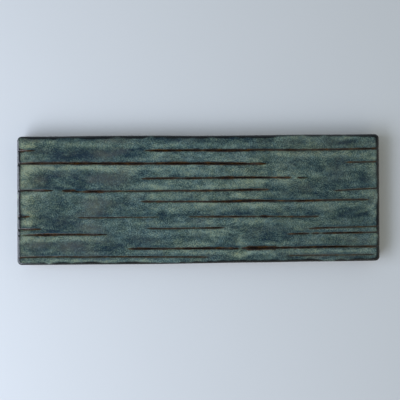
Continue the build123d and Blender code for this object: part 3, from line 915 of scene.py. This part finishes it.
def tile_mesh(maps):
    """The whole tile as one closed mesh, with its colour masks stored on its points."""
    xs, ys = columns(), rows(maps)
    nx, ny = len(xs), len(ys)
    grid_x, grid_y = np.meshgrid(xs, ys, indexing="ij")
    x, y = rounded(grid_x, grid_y)
    inset = np.minimum(*from_sides(grid_x, grid_y))
    drop = rim_drop(inset)
    on_top = eased(inset, *TOP_BLEND)
    depth = maps.read(maps.depth, *handmade(x, y))
    level = maps.read(maps.level, *handmade(x, y))
    z = THICKNESS - drop - depth - on_top * (GLAZE_HEADROOM - level)
    for bead_x, bead_y, radius in BEADS:
        away = np.hypot(x - bead_x, y - bead_y) / radius
        z += BEAD_HEIGHT * np.exp(-(away**4)) * (inset > BEAD_EDGE)
    z = np.minimum(z, THICKNESS)
    points = [np.stack([x, y, z], -1).reshape(-1, 3)]
    number = np.arange(nx * ny).reshape(nx, ny)
    faces = grid_faces(number)

    # Walls, as rings that run from the rim down to the foot
    ring = ring_order(nx, ny)
    ring_i = np.array([i for i, j in ring])
    ring_j = np.array([j for i, j in ring])
    out_x, out_y, out_z = x[ring_i, ring_j], y[ring_i, ring_j], z[ring_i, ring_j]
    last = number[ring_i, ring_j]
    run = run_line(out_x, out_y)
    at_end = (ring_i == 0) | (ring_i == nx - 1)
    channels = np.where(at_end, channel_depth(ys)[ring_j], 0.0)
    base = np.maximum(FOOT, channels + CHANNEL_MARGIN)
    bare = [np.zeros(nx * ny)]
    kept = [np.ones(nx * ny)]
    made = nx * ny
    rings = []
    for share, set_in, marked in SIDE_PROFILE:
        rings.append((out_z + (run - out_z) * share, set_in, 0.0, marked))
    step = run - GLAZE_LIP
    for share in CLAY_RINGS:
        rings.append((step + (base - step) * share, GLAZE_STEP, 1.0, 0.0))
    for height, set_in, clay, marked in rings:
        ring_x, ring_y = shrunk(out_x, out_y, set_in)
        points.append(np.stack([ring_x, ring_y, height], -1))
        numbers = made + np.arange(len(ring))
        faces += band_faces(last, numbers)
        bare.append(np.full(len(ring), clay))
        kept.append(np.full(len(ring), marked))
        last = numbers
        made += len(ring)

    # Back, with fewer columns and the key channels along it
    back_i = np.arange(0, nx, BACK_STRIDE)
    back_x, back_y = x[back_i], y[back_i]
    back_x = BACK_INSET + back_x * (LENGTH - 2 * BACK_INSET) / LENGTH
    back_y = BACK_INSET + back_y * (WIDTH - 2 * BACK_INSET) / WIDTH
    back_z = channel_depth(back_y[len(back_i) // 2])[None, :] * np.ones(back_x.shape)
    points.append(np.stack([back_x, back_y, back_z], -1).reshape(-1, 3))
    bare.append(np.ones(back_x.size))
    kept.append(np.zeros(back_x.size))
    back_number = made + np.arange(back_x.size).reshape(back_x.shape)
    faces += grid_faces(back_number[:, ::-1])
    coarse = ring_order(len(back_i), ny)
    fine = {place: n for place, n in zip(ring, last)}
    faces += stitched(coarse, back_number, fine, nx, ny)

    true_x, true_y, height = np.concatenate(points).T
    placed_x, placed_y = handmade(true_x, true_y)
    mesh = bpy.data.meshes.new("glazed_tile")
    mesh.from_pydata(to_frame(placed_x, placed_y, height).tolist(), [], faces)
    mesh.validate()
    rim = rim_shade(true_x, true_y, maps.read(maps.wander, true_x, true_y))
    store(mesh, maps, placed_x, placed_y, rim, np.concatenate(bare), np.concatenate(kept))
    mesh.shade_smooth()
    mesh.set_sharp_from_angle(angle=math.radians(SHARP_ANGLE))
    return mesh


def grid_faces(number):
    """Four-sided faces between neighbours of a grid of points, facing up."""
    a, b = number[:-1, :-1], number[1:, :-1]
    c, d = number[1:, 1:], number[:-1, 1:]
    return np.stack([a, b, c, d], -1).reshape(-1, 4).tolist()


def band_faces(upper, lower):
    """Four-sided faces between two rings of the same length, facing outwards."""
    over, under = np.roll(upper, -1), np.roll(lower, -1)
    return np.stack([upper, lower, under, over], -1).tolist()


def stitched(coarse, back_number, fine, nx, ny):
    """Three-sided faces that join the foot's fine ring to the back's coarse one."""
    faces = []
    for k, (i, j) in enumerate(coarse):
        next_i, next_j = coarse[(k + 1) % len(coarse)]
        here, there = back_number[i, j], back_number[next_i, next_j]
        step_i, step_j = np.sign(next_i - i), np.sign(next_j - j)
        count = BACK_STRIDE if step_i else 1
        walk = []
        for n in range(count + 1):
            walk.append(fine[(i * BACK_STRIDE + n * step_i, j + n * step_j)])
        half = (count + 1) // 2
        for n in range(count):
            corner = here if n < half else there
            faces.append((walk[n], corner, walk[n + 1]))
        faces.append((walk[half], here, there))
    return faces


def run_line(x, y):
    """The height at which the glaze ends on the sides, an uneven line round the tile."""
    random = np.random.default_rng(SEED + 1)
    way = np.cumsum(np.hypot(np.diff(x, prepend=x[-1]), np.diff(y, prepend=y[-1])))
    turn = way / way[-1] * 2 * math.pi
    height = np.full(len(x), RUN_HEIGHT)
    for waves in range(*RUN_WAVES):
        size = RUN_SWING * random.standard_normal() / math.sqrt(waves) / RUN_CALM
        height += size * np.sin(waves * turn + random.uniform(0, 2 * math.pi))
    return np.clip(height, *RUN_LIMITS)


def store(mesh, maps, x, y, rim, bare, kept):
    """Writes the colour masks on the mesh's points. The marks of the face fade down the sides."""
    masks = {
        "tone": maps.read(maps.tone, x, y),
        "warm": maps.read(maps.warm, x, y),
        "lean": maps.read(maps.lean, x, y),
        "core": maps.read(maps.core, x, y) * kept,
        "halo": maps.read(maps.halo, x, y) * kept,
        "pool": maps.read(maps.pool, x, y) * kept,
        # The dark rim: thin glaze over the body with painted shade, and a painted highlight at
        # the left end
        "rim": rim * kept,
        "bare": bare,
    }
    for name, values in masks.items():
        layer = mesh.attributes.new(name, "FLOAT", "POINT")
        layer.data.foreach_set("value", values.astype(np.float32))


class Shader:
    """Short ways to add nodes to a material or a world and to join them to its main node."""

    def __init__(self, owner, main):
        owner.use_nodes = True
        self.nodes = owner.node_tree.nodes
        self.links = owner.node_tree.links
        self.inputs = self.nodes[main].inputs

    def join(self, source, target):
        self.links.new(source, target)

    def mask(self, name):
        node = self.nodes.new("ShaderNodeAttribute")
        node.attribute_name = name
        return node.outputs["Fac"]

    def place(self, stretch=(1, 1, 1)):
        """The object's own coordinates in millimetres, stretched."""
        coords = self.nodes.new("ShaderNodeTexCoord")
        mapping = self.nodes.new("ShaderNodeMapping")
        for i in range(3):
            mapping.inputs["Scale"].default_value[i] = 1 / MM / stretch[i]
        self.join(coords.outputs["Object"], mapping.inputs["Vector"])
        return mapping.outputs["Vector"]

    def noise(self, size, stretch=(1, 1, 1), detail=2.0, rough=0.5):
        """A noise of that size in millimetres, from 0 to 1 about 0.5."""
        node = self.nodes.new("ShaderNodeTexNoise")
        node.inputs["Scale"].default_value = 1 / size
        node.inputs["Detail"].default_value = detail
        node.inputs["Roughness"].default_value = rough
        self.join(self.place(stretch), node.inputs["Vector"])
        return node.outputs["Fac"]

    def math(self, operation, a, b=0.0, clamp=False):
        node = self.nodes.new("ShaderNodeMath")
        node.operation = operation
        node.use_clamp = clamp
        for socket, value in zip(node.inputs, (a, b)):
            if isinstance(value, (int, float)):
                socket.default_value = value
            else:
                self.join(value, socket)
        return node.outputs["Value"]

    def scaled(self, value, low, high, to_low=0.0, to_high=1.0):
        node = self.nodes.new("ShaderNodeMapRange")
        node.inputs["From Min"].default_value = low
        node.inputs["From Max"].default_value = high
        node.inputs["To Min"].default_value = to_low
        node.inputs["To Max"].default_value = to_high
        self.join(value, node.inputs["Value"])
        return node.outputs["Result"]

    def blended(self, kind, share, a, b):
        """Two colours blended in one of Blender's ways, by share, a number or a socket."""
        node = self.nodes.new("ShaderNodeMix")
        node.data_type = "RGBA"
        node.blend_type = kind
        if isinstance(share, float):
            node.inputs["Factor"].default_value = share
        else:
            self.join(share, node.inputs["Factor"])
        for name, value in (("A", a), ("B", b)):
            socket = [s for s in node.inputs if s.name == name and s.type == "RGBA"][0]
            if isinstance(value, tuple):
                socket.default_value = (*value, 1)
            else:
                self.join(value, socket)
        return [s for s in node.outputs if s.type == "RGBA"][0]

    def mix(self, share, a, b):
        """Colour a where share is 0, and colour b where it is 1."""
        return self.blended("MIX", share, a, b)

    def tinted(self, colour, tint):
        """The colour with each of its channels scaled by the tint's."""
        return self.blended("MULTIPLY", 1.0, colour, tint)

    def ramp(self, value, stops):
        node = self.nodes.new("ShaderNodeValToRGB")
        elements = node.color_ramp.elements
        while len(elements) < len(stops):
            elements.new(0.5)
        for element, (position, colour) in zip(elements, stops):
            element.position = position
            element.color = (*colour, 1)
        self.join(value, node.inputs["Fac"])
        return node.outputs["Color"]

    def bump(self, height, strength, distance, normal=None):
        node = self.nodes.new("ShaderNodeBump")
        node.inputs["Strength"].default_value = strength
        node.inputs["Distance"].default_value = distance * MM
        self.join(height, node.inputs["Height"])
        if normal is not None:
            self.join(normal, node.inputs["Normal"])
        return node.outputs["Normal"]


# Glaze colours from its darkest pools to its thinnest veils
GLAZE_STOPS = [
    (0.07, (0.004, 0.017, 0.031)),
    (0.25, (0.0205, 0.041, 0.0415)),
    (0.40, (0.0365, 0.068, 0.068)),
    (0.50, (0.054, 0.0935, 0.0860)),
    (0.59, (0.075, 0.120, 0.1055)),
    (0.70, (0.105, 0.155, 0.131)),
    (0.85, (0.152, 0.210, 0.169)),
    (1.00, (0.200, 0.264, 0.202)),
]
WARM_TINT = (1.07, 1.00, 0.93)
COOL_TINT = (0.93, 1.00, 1.07)
OLIVE_TINT = (1.03, 1.00, 0.92)
BLUE_TINT = (0.97, 1.00, 1.08)
LEAN_OLIVE = (1.10, 1.00, 0.86)
LEAN_BLUE = (0.90, 1.00, 1.14)
WARM_GREY = (0.078, 0.085, 0.078)
POOL_BLUE = (0.006, 0.040, 0.060)
# Near black in the cut: the brown stain, darkened as painted shade of the cut
SCORE_BROWN_AND_SHADE = (0.006, 0.002, 0.001)
SCORE_RUST = (0.052, 0.021, 0.001)
SCORE_FRINGE = (0.050, 0.063, 0.018)
SCORE_AMBER = (0.115, 0.059, 0.006)
# Near black of the rim: thin glaze over the body, darkened further as painted shade
RIM_BODY_AND_SHADE = (0.004, 0.006, 0.008)
CLAY_PALE = (0.42, 0.33, 0.235)
CLAY_DARK = (0.27, 0.195, 0.13)

# How much the stored tone and each grain count in the glaze's tone, and the most that the thin
# and the pooled glaze cover it
TONE_SHARE = 0.42
STREAK_SHARE = 0.20
MOTTLE_SHARE = 0.36
SPECKLE_SHARE = 0.62
WARM_SHARE = 0.65
POOL_SHARE = 0.60

# Parts of a noise that are stretched to run from 0 to 1, for most of them and for some
NOISE_SPAN = (0.3, 0.7)
SPECKLE_SPAN = (0.32, 0.68)
AMBER_SPAN = (0.55, 0.68)
RUST_SPAN = (0.50, 0.68)
GROG_SPAN = (0.35, 0.65)

# How strongly the fringe of a score shows, and from where on its noise darkens the cut
FRINGE_SHARES = (0.55, 0.9)
RAGGED_FROM = 0.38

# Gloss: the glaze's roughness, how much smoother its rim is and how much rougher the clay, and
# its orange peel and pits, as strength and depth
GLAZE_ROUGHNESS = (0.19, 0.30)
RIM_SMOOTHER = 0.10
CLAY_ROUGHER = 0.60
GLAZE_IOR = 1.52
ORANGE_PEEL = (0.25, 0.10)
PITS = (0.20, 0.05)


def glaze_material():
    """Satin glaze over the face and most of the sides, and bare fired clay below it."""
    material = bpy.data.materials.new("glazed_stoneware_look")
    s = Shader(material, "Principled BSDF")

    # Tone of the glaze: the stored map, broken up by streaks, mottle and fine speckle
    streak = s.noise(1.6, stretch=(4, 1, 4), detail=3.0)
    mottle = s.noise(1.5, detail=3.0, rough=0.6)
    speckle = s.scaled(s.noise(0.56, detail=1.0, rough=0.7), *SPECKLE_SPAN)
    tone = s.math("MULTIPLY", s.mask("tone"), TONE_SHARE)
    shares = [(streak, STREAK_SHARE), (mottle, MOTTLE_SHARE), (speckle, SPECKLE_SHARE)]
    for grain, share in shares:
        centred = s.math("SUBTRACT", grain, 0.5)
        tone = s.math("ADD", tone, s.math("MULTIPLY", centred, share))
    tone = s.math("ADD", tone, 0.5, clamp=True)
    glaze = s.ramp(tone, GLAZE_STOPS)
    warm = s.math("MULTIPLY", s.mask("warm"), WARM_SHARE)
    glaze = s.mix(warm, glaze, WARM_GREY)

    # Hue wanders apart from the tone, in fine grains and in wide clouds
    grains = s.scaled(s.noise(1.3, detail=1.5), *NOISE_SPAN)
    clouds = s.scaled(s.noise(6.0), *NOISE_SPAN)
    glaze = s.tinted(glaze, s.mix(grains, WARM_TINT, COOL_TINT))
    glaze = s.tinted(glaze, s.mix(clouds, OLIVE_TINT, BLUE_TINT))
    glaze = s.tinted(glaze, s.mix(s.mask("lean"), LEAN_BLUE, LEAN_OLIVE))
    pool = s.math("MULTIPLY", s.mask("pool"), POOL_SHARE, clamp=True)
    glaze = s.mix(pool, glaze, POOL_BLUE)

    # Scores: thin glaze breaks olive or amber at their edges and brown-black in the cut, its
    # brown stain darkened by painted shade
    broken = s.scaled(s.noise(1.1, stretch=(3, 1, 1)), *NOISE_SPAN, *FRINGE_SHARES)
    amber = s.scaled(s.noise(2.2, stretch=(3, 1, 1)), *AMBER_SPAN)
    edge = s.mix(amber, SCORE_FRINGE, SCORE_AMBER)
    glaze = s.mix(s.math("MULTIPLY", s.mask("halo"), broken), glaze, edge)
    rusty = s.scaled(s.noise(1.0, stretch=(4, 0.7, 1)), *RUST_SPAN)
    cut = s.mix(rusty, SCORE_BROWN_AND_SHADE, SCORE_RUST)
    ragged = s.math("SUBTRACT", s.noise(0.7, stretch=(1.5, 1, 1)), RAGGED_FROM)
    core = s.math("ADD", s.mask("core"), s.math("MULTIPLY", ragged, s.mask("halo")), clamp=True)
    glaze = s.mix(core, glaze, cut)

    # Glaze drawn thin over the rim shows the brown body, darkened to near black as painted shade
    glaze = s.mix(s.mask("rim"), glaze, RIM_BODY_AND_SHADE)

    # Bare clay with grog
    grog = s.noise(0.9, detail=4.0, rough=0.65)
    clay = s.mix(s.scaled(grog, *GROG_SPAN), CLAY_DARK, CLAY_PALE)
    bare = s.mask("bare")
    s.join(s.mix(bare, glaze, clay), s.inputs["Base Color"])

    # Gloss and relief
    gloss = s.scaled(mottle, *NOISE_SPAN, *GLAZE_ROUGHNESS)
    gloss = s.math("SUBTRACT", gloss, s.math("MULTIPLY", s.mask("rim"), RIM_SMOOTHER))
    matt = s.math("MULTIPLY", bare, CLAY_ROUGHER)
    s.join(s.math("ADD", gloss, matt, clamp=True), s.inputs["Roughness"])
    s.inputs["IOR"].default_value = GLAZE_IOR
    peel = s.bump(s.noise(1.4, detail=1.0), *ORANGE_PEEL)
    s.join(s.bump(speckle, *PITS, peel), s.inputs["Normal"])
    return material


def table_material():
    """The table's plain matt paint, with a faint grain."""
    material = bpy.data.materials.new("table_paint")
    s = Shader(material, "Principled BSDF")
    grain = s.noise(TABLE_GRAIN, detail=3.0)
    darker = tuple(TABLE_DARKEST * c for c in TABLE_COLOUR)
    s.join(s.mix(grain, darker, TABLE_COLOUR), s.inputs["Base Color"])
    s.inputs["Roughness"].default_value = TABLE_ROUGHNESS
    s.inputs["Specular IOR Level"].default_value = TABLE_SPECULAR
    return material


def add_object(name, data):
    made = bpy.data.objects.new(name, data)
    bpy.context.scene.collection.objects.link(made)
    return made


def make_tile():
    maps = make_maps(FaceMaps())
    tile = add_object("glazed_tile", tile_mesh(maps))
    tile.data.materials.append(glaze_material())
    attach(tile, "root")
    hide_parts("tile")


def make_table():
    mesh = bpy.data.meshes.new("table_top")
    half = TABLE_HALF
    corners = [(-half, -half, 0), (half, -half, 0), (half, half, 0), (-half, half, 0)]
    mesh.from_pydata(corners, [], [(0, 1, 2, 3)])
    table = add_object("table_top", mesh)
    table.data.materials.append(table_material())


def make_camera():
    camera = add_object("camera", bpy.data.cameras.new("camera"))
    camera.data.lens = CAMERA_LENS
    camera.data.sensor_width = CAMERA_SENSOR
    camera.location = CAMERA_PLACE
    camera.rotation_euler = Euler([math.radians(a) for a in CAMERA_TILT])
    bpy.context.scene.camera = camera


def make_lights():
    window = add_object("window", bpy.data.lights.new("window", "AREA"))
    window.data.shape = "RECTANGLE"
    window.data.size, window.data.size_y = WINDOW_SIZE
    window.data.energy = WINDOW_POWER
    window.data.color = WINDOW_COLOUR
    window.location = WINDOW_PLACE
    aim = Vector((0, 0, 0)) - window.location
    window.rotation_euler = aim.to_track_quat("-Z", "Y").to_euler()
    world = bpy.context.scene.world or bpy.data.worlds.new("room")
    bpy.context.scene.world = world
    s = Shader(world, "Background")
    heading = s.nodes.new("ShaderNodeTexCoord")
    axes = s.nodes.new("ShaderNodeSeparateXYZ")
    s.join(heading.outputs["Generated"], axes.inputs["Vector"])

    # The ceiling is dim
    fade = s.scaled(axes.outputs["Z"], *CEILING_FADE, ROOM_STRENGTH, CEILING_STRENGTH)
    s.join(fade, s.inputs["Strength"])

    # The room is cool towards the upper left and warm towards the lower right
    across = s.math("SUBTRACT", axes.outputs["X"], axes.outputs["Y"])
    turn = s.scaled(across, *ROOM_TURN)
    s.join(s.ramp(turn, [(0.0, ROOM_COOL), (1.0, ROOM_WARM)]), s.inputs["Color"])


make_tile()
make_table()
make_camera()
make_lights()
bpy.context.scene.view_settings.view_transform = "Standard"
